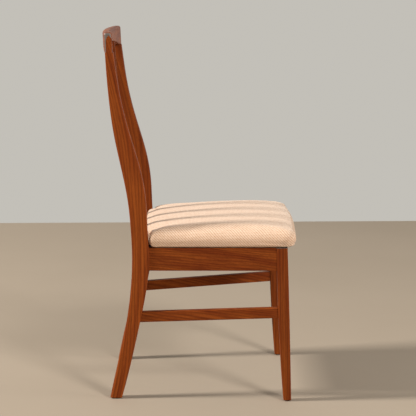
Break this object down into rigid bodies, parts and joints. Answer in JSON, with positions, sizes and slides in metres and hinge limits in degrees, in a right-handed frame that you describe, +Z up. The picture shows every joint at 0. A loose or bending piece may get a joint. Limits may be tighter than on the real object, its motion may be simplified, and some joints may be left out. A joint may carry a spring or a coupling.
{
  "type": "dining chair",
  "caption": "High-back wooden dining chair with upright slats, a curved crest rail, swept rear legs, side stretchers and a padded fabric seat.",
  "frame": {"origin": "on the floor in the middle of the chair's plan", "axes": "+Z up, X across the chair, the sitter faces -Y"},
  "size_m": [0.456, 0.5118, 0.965],
  "materials": {
    "teak": "oiled satin",
    "beech": "bare planed wood",
    "plywood": "sanded plywood",
    "seat_fabric": "flat woven cloth",
    "foam": "open-cell foam",
    "dust_cloth": "thin black lining cloth",
    "screw_steel": "zinc plated",
    "staple_wire": "galvanised wire",
    "glide": "hard dark brown plastic"
  },
  "bodies": {
    "root": {"back_slat_centre": "teak", "back_slat_left": "teak", "back_slat_right": "teak", "brace_screws": "screw_steel", "corner_brace_front_left": "beech", "corner_brace_front_right": "beech", "corner_brace_rear_left": "beech", "corner_brace_rear_right": "beech", "crest_dowels": "beech", "crest_rail": "teak", "dust_cover_staples": "staple_wire", "foot_glide_front_left": "glide", "foot_glide_front_right": "glide", "foot_glide_rear_left": "glide", "foot_glide_rear_right": "glide", "front_leg_left": "teak", "front_leg_right": "teak", "front_rail": "teak", "rail_dowels": "beech", "rear_leg_left": "teak", "rear_leg_right": "teak", "rear_rail": "teak", "seat_board": "plywood", "seat_cover": "seat_fabric", "seat_dust_cover": "dust_cloth", "seat_foam": "foam", "seat_screws": "screw_steel", "side_rail_left": "teak", "side_rail_right": "teak", "side_stretcher_left": "teak", "side_stretcher_right": "teak"}
  },
  "joints": []
}
